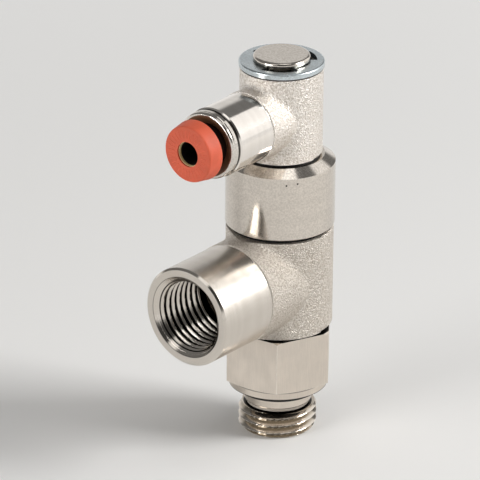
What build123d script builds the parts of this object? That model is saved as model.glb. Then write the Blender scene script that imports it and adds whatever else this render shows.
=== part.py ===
from build123d import *
import os
from math import cos, radians, sin, sqrt

# A pilot-operated shut-off fitting for compressed air, in millimetres.
# +Z runs up the main axis, z = 0 is the end of the male thread, and both ports point along -Y.
# Air passes between the side port and the threaded end only while the pilot piston holds the
# check poppet off its seat, or while it flows in from the side port by itself.

# Male threaded end: G 1/4, drawn as a plain cylinder of its major radius
thread_radius = 6.5785
thread_length = 4.4
thread_lead = 0.75
thread_exit = 0.3
relief_groove_radius = 5.1
relief_groove_height = 0.28
neck_radius = 5.7
neck_length = 3.52
neck_edge = 0.35
neck_taper = 0.72

# Hexagon, 17 mm across flats
hex_width = 17.0
hex_height = 11.05
hex_turn = 7.3
hex_foot_inset = 0.2
hex_foot_height = 1.35
hex_foot_rise = 0.5
hex_crown_radius = 9.35
hex_crown_drop = 0.3
seal_pocket_depth = 0.5
thread_seal_section = 1.6

# Check valve inside the threaded end
inlet_radius = 4.5
seat_radius = 3.0
seat_start = 16.2
seat_land = 1.3
chamber_radius = 3.6
poppet_gap = 0.15
poppet_head_radius = 3.9
poppet_nose_radius = 2.4
poppet_core_radius = 2.6
poppet_pin_radius = 1.3
poppet_pin_reach = 1.3
poppet_skirt = 4.2
poppet_head_depth = 1.5
poppet_boss_radius = 1.5
poppet_boss_length = 1.5
wing_width = 1.1
wing_clearance = 0.08
wing_count = 3
poppet_seal_radius = 3.1
poppet_seal_section = 0.8
spring_coil_radius = 2.35
spring_wire = 0.6
spring_turns = 5
retainer_depth = 1.7
retainer_height = 1.2
retainer_rim = 0.8
retainer_hub_radius = 3.1
retainer_hole_radius = 1.9
spoke_width = 1.2
spoke_count = 3

# Spindle that carries the port ring
spindle_radius = 6.0
spindle_gallery_radius = 4.9
spindle_gallery_height = 9.8
cross_hole_radius = 2.0
cross_hole_count = 4
bearing_inset = 1.6
spindle_seal_section = 1.2
spindle_seal_inset = 1.9

# Port ring and its side port: G 1/4, bored at the major radius
ring_overhang = 0.5
ring_height = 17.4
ring_edge = 0.25
boss_inset = 0.5
boss_reach = 24.5
boss_edge = 0.35
boss_root_step = 0.1
boss_root_reach = 12.3
boss_fillet = 1.5
port_thread_depth = 11.8
port_mouth_radius = 7.0
port_passage_radius = 4.6

# Pilot cylinder: collar, upper spindle and peened head
collar_step = 0.14
collar_height = 12.3
collar_edge = 0.2
collar_slope_drop = 1.2
collar_slope_radius = 7.35
collar_screw_depth = 3.0
cylinder_seal_section = 1.0
cylinder_seal_inset = 1.4
upper_radius = 4.0
upper_hub_radius = 5.6
upper_gallery_radius = 3.0
upper_gallery_height = 6.0
upper_bore_radius = 1.3
upper_cross_radius = 0.9
upper_cross_count = 4
upper_seal_section = 1.0
upper_seal_inset = 1.9
top_seal_section = 1.75
head_radius = 4.75
head_height = 0.73
head_round = 0.5

# Pilot piston and the bush that guides its rod
piston_height = 3.6
piston_seal_section = 1.2
piston_edge = 0.3
piston_stroke = 2.0
rod_radius = 1.5
guide_length = 6.6
rod_seal_section = 1.0

# Pilot elbow and its push-in port for a 4 mm tube
elbow_radius = 6.94
elbow_height = 15.2
elbow_edge = 0.2
pilot_height = 6.9
tube_radius = 5.9
tube_reach = 17.7
tube_edge = 0.35
tube_root_step = 0.1
tube_root_reach = 9.2
tube_fillet = 1.0
tube_wall = 1.0
cartridge_floor = 10.8
tube_seal_section = 1.2
tube_seal_room = 0.3
hose_radius = 2.0
hose_stop = 7.6
pilot_passage_radius = 1.4
spacer_thickness = 1.1
grip_thickness = 0.3
grip_slot_width = 0.5
grip_slot_reach = 3.6
grip_slot_count = 8

# Cap at the end of the push-in port
cap_set_in = 0.18
cap_height = 1.43
cap_groove_width = 0.45
cap_groove_depth = 0.42
cap_round = 0.45
cap_face_radius = 5.15
cap_cone_depth = 0.95
cap_line_depth = 0.12
cap_line_width = 0.24
catch_room = 0.15

# Release collet with its brass liner
collet_stroke = 1.5
flange_thickness = 2.9
flange_front_radius = 4.75
flange_back_radius = 5.2
flange_round = 0.35
collet_hole_ease = 0.1
collet_lip = 0.35
collet_sleeve_wall = 0.55
collet_bead_height = 0.45
collet_bead_length = 1.0
collet_bead_gap = 0.2
collet_slot_width = 0.8
collet_slot_length = 4.0
collet_slot_count = 4
liner_wall = 0.88

# Retaining washer under the head, with relief slots in its bore
washer_radius = 7.1
washer_thickness = 0.9
washer_round = 0.3
relief_radius = 5.85
relief_turns = (-55.0, 56.0, 165.0)
relief_half_angles = (32.0, 20.0, 20.0)

# Clearances
turning_gap = 0.05
fixed_gap = 0.02
face_gap = 0.05
hex_gap = 0.35
collar_gap = 0.6
elbow_gap = 0.4
gap_seal_inset = 0.72
neck_seal_inset = 0.32
head_gap = 0.25
push_gap = 0.1
chamber_gap = 0.2
valve_gap = 0.1
stop_gap = 0.25

# Heights along the main axis, from the thread's end upwards
neck_bottom = thread_length + relief_groove_height
hex_bottom = neck_bottom + neck_length
hex_top = hex_bottom + hex_height
ring_bottom = hex_top + hex_gap
ring_top = ring_bottom + ring_height
port_axis = ring_bottom + ring_height / 2
collar_bottom = ring_top + collar_gap
collar_top = collar_bottom + collar_height
stem_top = collar_bottom + collar_screw_depth
elbow_bottom = collar_top + elbow_gap
elbow_top = elbow_bottom + elbow_height
pilot_axis = elbow_bottom + pilot_height
washer_top = elbow_top + washer_thickness
head_bottom = washer_top + head_gap
head_top = head_bottom + head_height

# Radii of the body, which all follow the hexagon
ring_radius = hex_width / 2 + ring_overhang
boss_radius = ring_radius - boss_inset
collar_radius = ring_radius + collar_step
bearing_radius = ring_radius - bearing_inset
hex_foot_radius = hex_width / 2 - hex_foot_inset

# Bores and fits that follow from the shafts inside them
ring_bore = spindle_radius + turning_gap
cylinder_bore = spindle_radius + fixed_gap
piston_radius = cylinder_bore - turning_gap
elbow_bore = upper_radius + turning_gap
seal_pocket_radius = neck_radius + thread_seal_section + face_gap
top_seal_pocket_radius = upper_radius + fixed_gap + top_seal_section + turning_gap
top_seal_pocket_floor = elbow_top - fixed_gap - top_seal_section - turning_gap
rod_bore = rod_radius + turning_gap
hose_bore = hose_radius + turning_gap
cartridge_radius = tube_radius - tube_wall
tube_seal_bore = hose_radius + tube_seal_section + fixed_gap
liner_radius = hose_bore + liner_wall
collet_hole_radius = hose_bore + collet_hole_ease
collet_sleeve_radius = liner_radius + fixed_gap + collet_sleeve_wall
collet_bead_radius = collet_sleeve_radius + collet_bead_height
catch_room_radius = collet_bead_radius + catch_room
cap_radius = tube_radius - cap_set_in
cap_groove_radius = cap_radius - cap_groove_depth

# Valve heights: the seat's cone rises at 45 degrees, and the poppet's cone lies under it
seat_top = seat_start + inlet_radius - seat_radius
chamber_floor = seat_top + seat_land
poppet_shoulder = seat_start + inlet_radius - poppet_head_radius - poppet_gap * sqrt(2)
poppet_nose = poppet_shoulder + poppet_head_radius - poppet_nose_radius
poppet_top = chamber_floor + poppet_pin_reach
poppet_foot = poppet_shoulder - poppet_skirt
retainer_bottom = retainer_depth
retainer_top = retainer_bottom + retainer_height
piston_bottom = stem_top + piston_stroke + chamber_gap
piston_top = piston_bottom + piston_height
cylinder_top = piston_top + chamber_gap
guide_bottom = stem_top - guide_length
piston_middle = piston_bottom + piston_height / 2

# Heights of the O-rings along the main axis
lower_ring_seal_height = ring_bottom + spindle_seal_inset
upper_ring_seal_height = ring_top - spindle_seal_inset
cylinder_seal_height = stem_top - cylinder_seal_inset
elbow_lower_seal_height = elbow_bottom + upper_seal_inset
elbow_upper_seal_height = elbow_top - fixed_gap - top_seal_section / 2

# Distances from the main axis along the pilot port, from the tube's seal outwards
tube_seal_floor = cartridge_floor - tube_seal_section - tube_seal_room
grip_start = cartridge_floor + spacer_thickness
cap_inner_end = grip_start + grip_thickness
bead_back = cap_inner_end + collet_stroke + stop_gap
bead_front = bead_back + collet_bead_length
cap_step = bead_front + collet_bead_gap
cap_back = tube_reach + cap_groove_width
cap_front = cap_back + cap_height
flange_back = cap_front + collet_stroke + stop_gap
collet_reach = flange_back + flange_thickness


def turned(points, rounds=()):
    """Solid of revolution about Z, from (radius, height) points, with some corners rounded.

    Each of rounds is (corner, radius), and its corner is one of the points.
    """
    outline = make_face(Polyline(*points, close=True))
    for corner, radius in rounds:
        outline = fillet(outline.vertices().sort_by_distance(corner)[0], radius)
    return revolve(Plane.XZ * outline, Axis.Z)


def tube(outer, inner, bottom, top):
    """Plain ring about Z."""
    return turned([(inner, bottom), (outer, bottom), (outer, top), (inner, top)])


def rod(radius, bottom, top):
    """Plain cylinder about Z."""
    return Pos(0, 0, (bottom + top) / 2) * Cylinder(radius, top - bottom)


def o_ring(inner_radius, section, height):
    """O-ring about Z, by its inner radius and the thickness of its section."""
    return Pos(0, 0, height) * Torus(inner_radius + section / 2, section / 2)


def along_port(height, solid):
    """Turns a solid built up +Z so that it points along -Y at this height."""
    return Pos(0, 0, height) * Rot(90, 0, 0) * solid


def around(count, solid):
    """Copies of a solid, evenly spaced about Z."""
    return [Rot(0, 0, 360 * step / count) * solid for step in range(count)]


def seal_groove(shaft_radius, bore_radius, section, height):
    """Ring that cuts a groove into a shaft for an O-ring that reaches nearly to the bore."""
    floor_radius = bore_radius - fixed_gap - section - fixed_gap
    half_width = section / 2 + fixed_gap
    return tube(shaft_radius + section, floor_radius, height - half_width, height + half_width)


def groove_seal(bore_radius, section, height):
    """O-ring that lies in such a groove."""
    return o_ring(bore_radius - fixed_gap - section, section, height)


def tee_body(radius, bottom, height, axis_height, arm_radius, arm_reach, step, root_reach, root_fillet):
    """Upright barrel with a turned arm along -Y, filleted where they meet."""
    arm_root = arm_radius + step
    barrel = Pos(0, 0, axis_height) * Cylinder(radius, 6 * arm_root)
    arm = turned([
        (0, 0), (arm_root, 0), (arm_root, root_reach - step), (arm_radius, root_reach),
        (arm_radius, arm_reach), (0, arm_reach),
    ])
    whole = barrel + along_port(axis_height, arm)
    seam = [
        edge for edge in whole.edges()
        if edge.geom_type not in (GeomType.LINE, GeomType.CIRCLE)
    ]
    whole = fillet(seam, root_fillet)
    slab = Pos(0, 0, bottom + height / 2) * Box(4 * arm_reach, 4 * arm_reach, height)
    return whole & slab


# Threaded stem: male thread, hexagon and hollow spindle, turned from one bar
def hexagon():
    flats = RegularPolygon(hex_width / 2, 6, major_radius=False, rotation=hex_turn)
    bar = Pos(0, 0, hex_bottom) * extrude(flats, hex_height)
    corner = hex_width / sqrt(3)
    foot_slope = hex_foot_rise / (corner - hex_foot_radius)
    crown_slope = hex_crown_drop / (corner - hex_crown_radius)
    outside = corner + hex_crown_drop
    foot_top = hex_bottom + hex_foot_height
    envelope = turned([
        (0, hex_bottom),
        (hex_foot_radius, hex_bottom),
        (hex_foot_radius, foot_top),
        (outside, foot_top + foot_slope * (outside - hex_foot_radius)),
        (outside, hex_top - crown_slope * (outside - hex_crown_radius)),
        (hex_crown_radius, hex_top),
        (0, hex_top),
    ])
    return bar & envelope


def stem_shaft():
    """Everything of the stem that is round, before it is bored."""
    gallery_bottom = port_axis - spindle_gallery_height / 2
    gallery_top = port_axis + spindle_gallery_height / 2
    gallery_step = spindle_radius - spindle_gallery_radius
    return turned([
        (0, 0),
        (thread_radius - thread_lead, 0),
        (thread_radius, thread_lead),
        (thread_radius, thread_length - thread_exit),
        (thread_radius - thread_exit, thread_length),
        (relief_groove_radius, thread_length),
        (relief_groove_radius, neck_bottom),
        (neck_radius - neck_edge, neck_bottom),
        (neck_radius, neck_bottom + neck_taper),
        (neck_radius, hex_bottom + seal_pocket_depth),
        (bearing_radius, hex_bottom + seal_pocket_depth),
        (bearing_radius, ring_bottom - face_gap),
        (spindle_radius, ring_bottom - face_gap),
        (spindle_radius, gallery_bottom),
        (spindle_gallery_radius, gallery_bottom + gallery_step),
        (spindle_gallery_radius, gallery_top - gallery_step),
        (spindle_radius, gallery_top),
        (spindle_radius, stem_top),
        (0, stem_top),
    ])


def threaded_stem():
    pocket = rod(seal_pocket_radius, hex_bottom, hex_bottom + seal_pocket_depth)
    valve_bore = turned([
        (0, 0),
        (inlet_radius, 0),
        (inlet_radius, seat_start),
        (seat_radius, seat_top),
        (seat_radius, chamber_floor),
        (chamber_radius, chamber_floor),
        (chamber_radius, stem_top),
        (0, stem_top),
    ])
    cross_hole = Rot(0, 90, 0) * Pos(0, 0, spindle_radius / 2) * Cylinder(cross_hole_radius, spindle_radius)
    stem = (hexagon() - pocket) + stem_shaft()
    stem -= valve_bore
    for height in (lower_ring_seal_height, upper_ring_seal_height):
        stem -= seal_groove(spindle_radius, ring_bore, spindle_seal_section, height)
    stem -= seal_groove(spindle_radius, cylinder_bore, cylinder_seal_section, cylinder_seal_height)
    for hole in around(cross_hole_count, cross_hole):
        stem -= Pos(0, 0, port_axis) * hole
    return stem


def thread_seal_ring():
    top = hex_bottom + seal_pocket_depth
    return o_ring(neck_radius, thread_seal_section, top - thread_seal_section / 2)


# Check valve: poppet, its seal, spring and retainer
def poppet_body():
    core = turned([
        (0, poppet_foot - poppet_boss_length),
        (poppet_boss_radius, poppet_foot - poppet_boss_length),
        (poppet_boss_radius, poppet_foot),
        (poppet_core_radius, poppet_foot),
        (poppet_core_radius, poppet_shoulder - poppet_head_depth),
        (poppet_head_radius, poppet_shoulder - poppet_head_depth),
        (poppet_head_radius, poppet_shoulder),
        (poppet_nose_radius, poppet_nose),
        (poppet_pin_radius, poppet_nose),
        (poppet_pin_radius, poppet_top),
        (0, poppet_top),
    ])
    wing_reach = inlet_radius - wing_clearance
    wing_height = poppet_skirt - poppet_head_depth
    wing = Pos(wing_reach / 2, 0, poppet_foot + wing_height / 2) * Box(wing_reach, wing_width, wing_height)
    for blade in around(wing_count, wing):
        core += blade
    limit = rod(wing_reach, poppet_foot - poppet_boss_length, poppet_top)
    groove = o_ring(
        poppet_seal_radius - poppet_seal_section / 2 - fixed_gap,
        poppet_seal_section + 2 * fixed_gap,
        poppet_seal_height(),
    )
    return (core & limit) - groove


def poppet_seal_height():
    """Height at which the seal's section stands valve_gap off the seat's cone."""
    clearance = (poppet_seal_section / 2 + valve_gap) * sqrt(2)
    return seat_start + inlet_radius - poppet_seal_radius - clearance


def poppet_seal():
    return o_ring(poppet_seal_radius - poppet_seal_section / 2, poppet_seal_section, poppet_seal_height())


def poppet_spring():
    """Open coil with its ends ground flat on the retainer and the poppet."""
    length = poppet_foot - retainer_top
    path = Helix(length / spring_turns, length, spring_coil_radius)
    section = Plane(origin=path @ 0, z_dir=path % 0) * Circle(spring_wire / 2)
    coil = Pos(0, 0, retainer_top) * sweep(section, path=path, is_frenet=True)
    return coil & rod(2 * spring_coil_radius, retainer_top, poppet_foot)


def spring_retainer():
    outer = inlet_radius - fixed_gap
    ring = tube(outer, outer - retainer_rim, retainer_bottom, retainer_top)
    ring += tube(retainer_hub_radius, retainer_hole_radius, retainer_bottom, retainer_top)
    reach = outer - retainer_rim / 2
    inner = (retainer_hole_radius + retainer_hub_radius) / 2
    middle = (retainer_bottom + retainer_top) / 2
    spoke = Pos((reach + inner) / 2, 0, middle) * Box(reach - inner, spoke_width, retainer_height)
    for arm in around(spoke_count, spoke):
        ring += arm
    return ring


# Port ring with the female side port
def port_ring():
    ring = tee_body(
        ring_radius, ring_bottom, ring_height, port_axis,
        boss_radius, boss_reach, boss_root_step, boss_root_reach, boss_fillet,
    )
    mouth_chamfer = port_mouth_radius - thread_radius
    side_bore = turned([
        (0, 0),
        (port_passage_radius, 0),
        (port_passage_radius, boss_reach - port_thread_depth - mouth_chamfer),
        (thread_radius, boss_reach - port_thread_depth),
        (thread_radius, boss_reach - mouth_chamfer),
        (port_mouth_radius, boss_reach),
        (0, boss_reach),
    ])
    face = along_port(port_axis, outer_bevel(boss_radius, boss_edge, boss_reach))
    main_bore = rod(ring_bore, ring_bottom, ring_top)
    return ring - face - along_port(port_axis, side_bore) - main_bore - rim_bevels(
        ring_radius, ring_edge, ring_bottom, ring_top
    )


def outer_bevel(radius, size, reach):
    """Ring that cuts a bevel round the end of an arm."""
    outside = radius + size
    return turned([(radius, reach - size), (outside, reach - size), (outside, reach), (radius - size, reach)])


def rim_bevels(radius, size, bottom, top):
    """Two half rings that bevel a barrel's rims on the side away from its arm."""
    lower = turned([(radius, bottom + size), (radius - size, bottom), (radius + size, bottom)])
    upper = turned([(radius, top - size), (radius + size, top), (radius - size, top)])
    back_half = Pos(0, 2 * radius, (bottom + top) / 2) * Box(6 * radius, 4 * radius, 2 * (top - bottom))
    return (lower & back_half) + (upper & back_half)


def ring_seal(height):
    return groove_seal(ring_bore, spindle_seal_section, height)


def top_gap_seal():
    outer = collar_radius - gap_seal_inset
    return tube(outer, bearing_radius + fixed_gap, ring_top + face_gap, collar_bottom)


# Pilot cylinder: the collar over the piston, the upper spindle and its peened head
def cylinder_outline():
    gallery_bottom = pilot_axis - upper_gallery_height / 2
    gallery_top = pilot_axis + upper_gallery_height / 2
    gallery_step = upper_radius - upper_gallery_radius
    return turned([
        (0, ring_top + face_gap),
        (bearing_radius, ring_top + face_gap),
        (bearing_radius, collar_bottom),
        (collar_radius - collar_edge, collar_bottom),
        (collar_radius, collar_bottom + collar_edge),
        (collar_radius, collar_top - collar_slope_drop),
        (collar_slope_radius, collar_top),
        (upper_hub_radius, collar_top),
        (upper_hub_radius, elbow_bottom - face_gap),
        (upper_radius, elbow_bottom - face_gap),
        (upper_radius, gallery_bottom),
        (upper_gallery_radius, gallery_bottom + gallery_step),
        (upper_gallery_radius, gallery_top - gallery_step),
        (upper_radius, gallery_top),
        (upper_radius, head_bottom),
        (head_radius, head_bottom),
        (head_radius, head_top),
        (0, head_top),
    ], rounds=[((head_radius, head_top), head_round)])


def pilot_cylinder():
    body = cylinder_outline()
    body -= rod(cylinder_bore, ring_top, cylinder_top)
    body -= rod(upper_bore_radius, cylinder_top, pilot_axis + upper_bore_radius)
    body -= seal_groove(upper_radius, elbow_bore, upper_seal_section, elbow_lower_seal_height)
    drill = Rot(0, 90, 0) * Pos(0, 0, upper_radius / 2) * Cylinder(upper_cross_radius, upper_radius)
    for hole in around(upper_cross_count, drill):
        body -= Pos(0, 0, pilot_axis) * hole
    return body


def cylinder_seal():
    return groove_seal(cylinder_bore, cylinder_seal_section, cylinder_seal_height)


def elbow_lower_seal():
    return groove_seal(elbow_bore, upper_seal_section, elbow_lower_seal_height)


def elbow_upper_seal():
    """O-ring in the elbow's top, which shows black through the washer's relief slots."""
    return o_ring(upper_radius + fixed_gap, top_seal_section, elbow_upper_seal_height)


def neck_gap_seal():
    outer = elbow_radius - neck_seal_inset
    return tube(outer, upper_hub_radius + fixed_gap, collar_top, elbow_bottom - face_gap)


# Pilot piston, its seal, and the bush and seal round its rod
def pilot_piston():
    body = turned([
        (0, poppet_top + push_gap),
        (rod_radius, poppet_top + push_gap),
        (rod_radius, piston_bottom),
        (piston_radius - piston_edge, piston_bottom),
        (piston_radius, piston_bottom + piston_edge),
        (piston_radius, piston_top - piston_edge),
        (piston_radius - piston_edge, piston_top),
        (0, piston_top),
    ])
    return body - seal_groove(piston_radius, cylinder_bore, piston_seal_section, piston_middle)


def piston_seal():
    return groove_seal(cylinder_bore, piston_seal_section, piston_middle)


def rod_guide():
    pocket_depth = rod_seal_section + fixed_gap
    pocket_radius = rod_bore + rod_seal_section + fixed_gap
    return turned([
        (rod_bore, guide_bottom),
        (chamber_radius - fixed_gap, guide_bottom),
        (chamber_radius - fixed_gap, stem_top),
        (pocket_radius, stem_top),
        (pocket_radius, stem_top - pocket_depth),
        (rod_bore, stem_top - pocket_depth),
    ])


def rod_seal():
    return o_ring(rod_bore, rod_seal_section, stem_top - rod_seal_section / 2)


# Pilot elbow: a swivelling barrel with the push-in port's tube
def pilot_elbow():
    elbow = tee_body(
        elbow_radius, elbow_bottom, elbow_height, pilot_axis,
        tube_radius, tube_reach, tube_root_step, tube_root_reach, tube_fillet,
    )
    port = turned([
        (0, 0),
        (pilot_passage_radius, 0),
        (pilot_passage_radius, hose_stop),
        (hose_bore, hose_stop),
        (hose_bore, tube_seal_floor),
        (tube_seal_bore, tube_seal_floor),
        (tube_seal_bore, cartridge_floor),
        (cartridge_radius, cartridge_floor),
        (cartridge_radius, tube_reach),
        (0, tube_reach),
    ])
    face = along_port(pilot_axis, outer_bevel(tube_radius, tube_edge, tube_reach))
    main_bore = rod(elbow_bore, elbow_bottom, elbow_top)
    main_bore += rod(top_seal_pocket_radius, top_seal_pocket_floor, elbow_top)
    top_rim = outer_bevel(elbow_radius, elbow_edge, elbow_top)
    return elbow - face - along_port(pilot_axis, port) - main_bore - top_rim - rim_bevels(
        elbow_radius, elbow_edge, elbow_bottom, elbow_top
    )


def tube_seal():
    middle = (tube_seal_floor + cartridge_floor) / 2
    return along_port(pilot_axis, o_ring(hose_radius, tube_seal_section, middle))


def seal_spacer():
    outer = cartridge_radius - fixed_gap
    return along_port(pilot_axis, tube(outer, hose_bore + fixed_gap, cartridge_floor, grip_start))


def gripping_ring():
    """Spring-steel washer whose slots leave teeth that bite the tube."""
    outer = cartridge_radius - fixed_gap
    ring = tube(outer, hose_radius, grip_start, grip_start + grip_thickness)
    middle = grip_start + grip_thickness / 2
    slot = Pos(grip_slot_reach / 2, 0, middle) * Box(grip_slot_reach, grip_slot_width, 2 * grip_thickness)
    for cut in around(grip_slot_count, slot):
        ring -= cut
    return along_port(pilot_axis, ring)


def cartridge_cap():
    """Metal end ring, pressed into the tube, that holds the gripping ring and catches the collet."""
    spigot_radius = cartridge_radius - fixed_gap
    sleeve_bore = collet_sleeve_radius + push_gap
    line = cap_front - cap_round - cap_line_width
    cap = turned([
        (catch_room_radius, cap_inner_end),
        (spigot_radius, cap_inner_end),
        (spigot_radius, tube_reach),
        (cap_groove_radius, tube_reach),
        (cap_groove_radius, cap_back),
        (cap_radius, cap_back),
        (cap_radius, line - cap_line_width / 2),
        (cap_radius - cap_line_depth, line),
        (cap_radius, line + cap_line_width / 2),
        (cap_radius, cap_front),
        (cap_face_radius, cap_front),
        (sleeve_bore, cap_front - cap_cone_depth),
        (sleeve_bore, cap_step),
        (catch_room_radius, cap_step),
    ], rounds=[((cap_radius, cap_front), cap_round)])
    return along_port(pilot_axis, cap)


# Release collet: a moulded disc and slotted sleeve that is pushed in to free the tube
def release_collet():
    bore = liner_radius + fixed_gap
    body = turned([
        (bore, bead_back),
        (collet_sleeve_radius, bead_back),
        (collet_bead_radius, bead_back + collet_bead_length / 2),
        (collet_bead_radius, bead_front),
        (collet_sleeve_radius, bead_front),
        (collet_sleeve_radius, flange_back),
        (flange_back_radius, flange_back),
        (flange_front_radius, collet_reach),
        (collet_hole_radius, collet_reach),
        (collet_hole_radius, collet_reach - collet_lip),
        (bore, collet_reach - collet_lip),
    ], rounds=[
        ((flange_back_radius, flange_back), flange_round),
        ((flange_front_radius, collet_reach), flange_round),
    ])
    slot_middle = bead_back + collet_slot_length / 2
    slot = Pos(collet_bead_radius / 2, 0, slot_middle)
    slot *= Box(2 * collet_bead_radius, collet_slot_width, collet_slot_length)
    for turn in range(collet_slot_count // 2):
        body -= Rot(0, 0, 180 * turn / (collet_slot_count // 2)) * slot
    return along_port(pilot_axis, body)


def collet_liner():
    front = collet_reach - collet_lip - fixed_gap
    return along_port(pilot_axis, tube(liner_radius, hose_bore, bead_back, front))


# Retaining washer: zinc-plated, with three relief slots that open into its bore
def retaining_washer():
    bore = upper_radius + turning_gap
    washer = turned([
        (bore, elbow_top),
        (washer_radius, elbow_top),
        (washer_radius, washer_top),
        (bore, washer_top),
    ], rounds=[((washer_radius, washer_top), washer_round)])
    for turn, half_angle in zip(relief_turns, relief_half_angles):
        washer -= Rot(0, 0, turn) * relief_slot(half_angle)
    return washer


def relief_slot(half_angle):
    """Arc-shaped pocket in the washer's bore, to both sides of +X."""
    reach = radians(half_angle)
    outer = CenterArc((0, 0), relief_radius, -half_angle, 2 * half_angle)
    side = (relief_radius * cos(reach), relief_radius * sin(reach))
    edges = [outer, Line((0, 0), (side[0], -side[1])), Line((0, 0), side)]
    return Pos(0, 0, elbow_top) * extrude(make_face(edges), washer_thickness)


parts = {
    "threaded_stem": threaded_stem(),
    "thread_seal_ring": thread_seal_ring(),
    "lower_ring_seal": ring_seal(lower_ring_seal_height),
    "upper_ring_seal": ring_seal(upper_ring_seal_height),
    "top_gap_seal": top_gap_seal(),
    "pilot_cylinder": pilot_cylinder(),
    "cylinder_seal": cylinder_seal(),
    "elbow_lower_seal": elbow_lower_seal(),
    "elbow_upper_seal": elbow_upper_seal(),
    "neck_gap_seal": neck_gap_seal(),
    "retaining_washer": retaining_washer(),
    "rod_guide": rod_guide(),
    "rod_seal": rod_seal(),
    "spring_retainer": spring_retainer(),
    "poppet_spring": poppet_spring(),
    "poppet": poppet_body(),
    "poppet_seal": poppet_seal(),
    "pilot_piston": pilot_piston(),
    "piston_seal": piston_seal(),
    "port_ring": port_ring(),
    "pilot_elbow": pilot_elbow(),
    "tube_seal": tube_seal(),
    "seal_spacer": seal_spacer(),
    "gripping_ring": gripping_ring(),
    "cartridge_cap": cartridge_cap(),
    "release_collet": release_collet(),
    "collet_liner": collet_liner(),
}

os.makedirs("parts", exist_ok=True)
for name, solid in parts.items():
    export_step(solid, f"parts/{name}.step")
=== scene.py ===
import logging
import math
from abc import ABC, abstractmethod
from dataclasses import dataclass, field
from enum import Enum
from functools import reduce
from typing import ClassVar, Sequence

import bmesh
import bpy
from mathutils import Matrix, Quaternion, Vector


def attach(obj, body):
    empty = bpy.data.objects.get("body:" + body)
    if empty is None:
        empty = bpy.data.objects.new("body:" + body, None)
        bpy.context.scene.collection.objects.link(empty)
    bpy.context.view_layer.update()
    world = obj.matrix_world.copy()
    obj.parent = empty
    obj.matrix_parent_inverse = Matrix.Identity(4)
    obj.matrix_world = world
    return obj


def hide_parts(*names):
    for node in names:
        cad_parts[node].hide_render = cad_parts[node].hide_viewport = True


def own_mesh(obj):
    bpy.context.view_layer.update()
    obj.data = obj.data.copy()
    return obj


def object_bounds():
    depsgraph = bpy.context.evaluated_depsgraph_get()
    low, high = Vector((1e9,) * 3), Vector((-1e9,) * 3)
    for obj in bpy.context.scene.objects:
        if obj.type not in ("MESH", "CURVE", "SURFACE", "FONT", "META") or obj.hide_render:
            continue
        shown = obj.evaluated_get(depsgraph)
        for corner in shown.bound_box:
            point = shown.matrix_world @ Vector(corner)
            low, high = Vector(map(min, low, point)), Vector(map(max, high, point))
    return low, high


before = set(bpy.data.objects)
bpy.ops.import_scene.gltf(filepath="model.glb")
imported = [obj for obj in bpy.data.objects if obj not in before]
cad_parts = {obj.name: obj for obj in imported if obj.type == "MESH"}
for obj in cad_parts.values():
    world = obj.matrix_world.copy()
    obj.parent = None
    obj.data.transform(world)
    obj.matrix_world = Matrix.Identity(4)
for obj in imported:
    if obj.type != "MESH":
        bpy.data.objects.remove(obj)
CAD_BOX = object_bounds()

log = logging.getLogger("shut_off_valve")

MM = 0.001
PHOTO_SIDE = 480
SENSOR_WIDTH = 36.0

Colour = tuple[float, float, float, float]
Socket = bpy.types.NodeSocket
Value = float | Colour | tuple[float, float, float] | Socket
Inputs = dict[str | int, Value]


def linear(level: int) -> float:
    """Linear value of an 8-bit screen level."""
    part = level / 255
    return part / 12.92 if part <= 0.04045 else ((part + 0.055) / 1.055) ** 2.4


def srgb(red: int, green: int, blue: int) -> Colour:
    """Linear colour of 8-bit screen levels."""
    return linear(red), linear(green), linear(blue), 1.0


def toned(colour: Colour, *shares: float) -> Colour:
    """A colour times one share, or times a share each for red, green and blue."""
    return tuple(share * part for share, part in zip(shares * 3, colour[:3])) + (1.0,)


# Colours of wear, dirt, painted shade and light, and values that several finishes share

RUBBED_NICKEL = srgb(240, 234, 226)
PAINTED_SHADE = srgb(22, 19, 17)
THREAD_VALLEY_SHADE = srgb(138, 126, 104)
SPECK_BROWN = srgb(120, 108, 96)
NICK_BROWN = srgb(40, 34, 28)
PIT_BROWN = srgb(70, 62, 54)
COLLET_RECESS_SHADE = srgb(44, 26, 20)
LAMP_WHITE = (1.0, 0.995, 0.985, 1.0)
BLACK = (0.0, 0.0, 0.0, 1.0)
NOISE_RANGE = (0.3, 0.7)
EDGE_STRENGTH = 0.6


class Slot(str, Enum):
    """Names of material slots of the record."""

    STEM = "nickel_stem"
    BLASTED = "nickel_blasted"
    SPRING = "spring_steel"
    ORANGE = "orange_plastic"


class Body(str, Enum):
    """Bodies of the frame that new pieces ride on."""

    STEM = "stem_unit"
    RING = "ring_unit"
    COLLET = "collet_unit"


class Axis(Enum):
    """Axis that a piece was turned about: the main one, or a port's, at its height in metres."""

    MAIN = None
    SIDE_PORT = 28.3 * MM
    PILOT_PORT = 57.2 * MM


# Shader sketches and shared effects

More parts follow.
